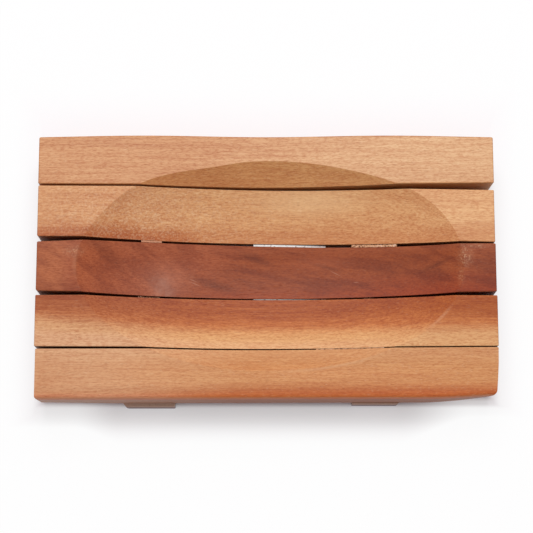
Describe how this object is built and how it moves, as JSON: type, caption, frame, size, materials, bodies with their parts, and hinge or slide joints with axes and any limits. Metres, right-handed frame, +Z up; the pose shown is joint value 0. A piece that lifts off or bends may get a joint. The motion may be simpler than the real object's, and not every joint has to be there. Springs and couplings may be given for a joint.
{
  "type": "soap dish",
  "caption": "Slatted wooden soap dish with a shallow oval hollow scooped across its slats, held on cross battens that lift it clear for draining.",
  "frame": {"origin": "middle of the footprint, on the plane that the battens rest on", "axes": "+X along the slats to the right as the picture shows it, +Y towards the back slat, +Z up"},
  "size_m": [0.1302, 0.0766, 0.018],
  "materials": {
    "back_slat_wood": "sanded, unfinished",
    "rear_mid_slat_wood": "sanded, unfinished",
    "centre_slat_wood": "sanded, unfinished",
    "front_mid_slat_wood": "sanded, unfinished",
    "front_slat_wood": "sanded, unfinished",
    "batten_wood": "sawn, unfinished",
    "brad_steel": "bright drawn wire",
    "dusty_glue": "set glue full of sanding dust",
    "label_paper": "matt, blank"
  },
  "bodies": {
    "root": {"back_slat": "back_slat_wood", "rear_mid_slat": "rear_mid_slat_wood", "centre_slat": "centre_slat_wood", "front_mid_slat": "front_mid_slat_wood", "front_slat": "front_slat_wood", "left_batten": "batten_wood", "right_batten": "batten_wood", "left_brads": "brad_steel", "right_brads": "brad_steel", "glue_beads": "dusty_glue", "underside_label": "label_paper"}
  },
  "joints": []
}
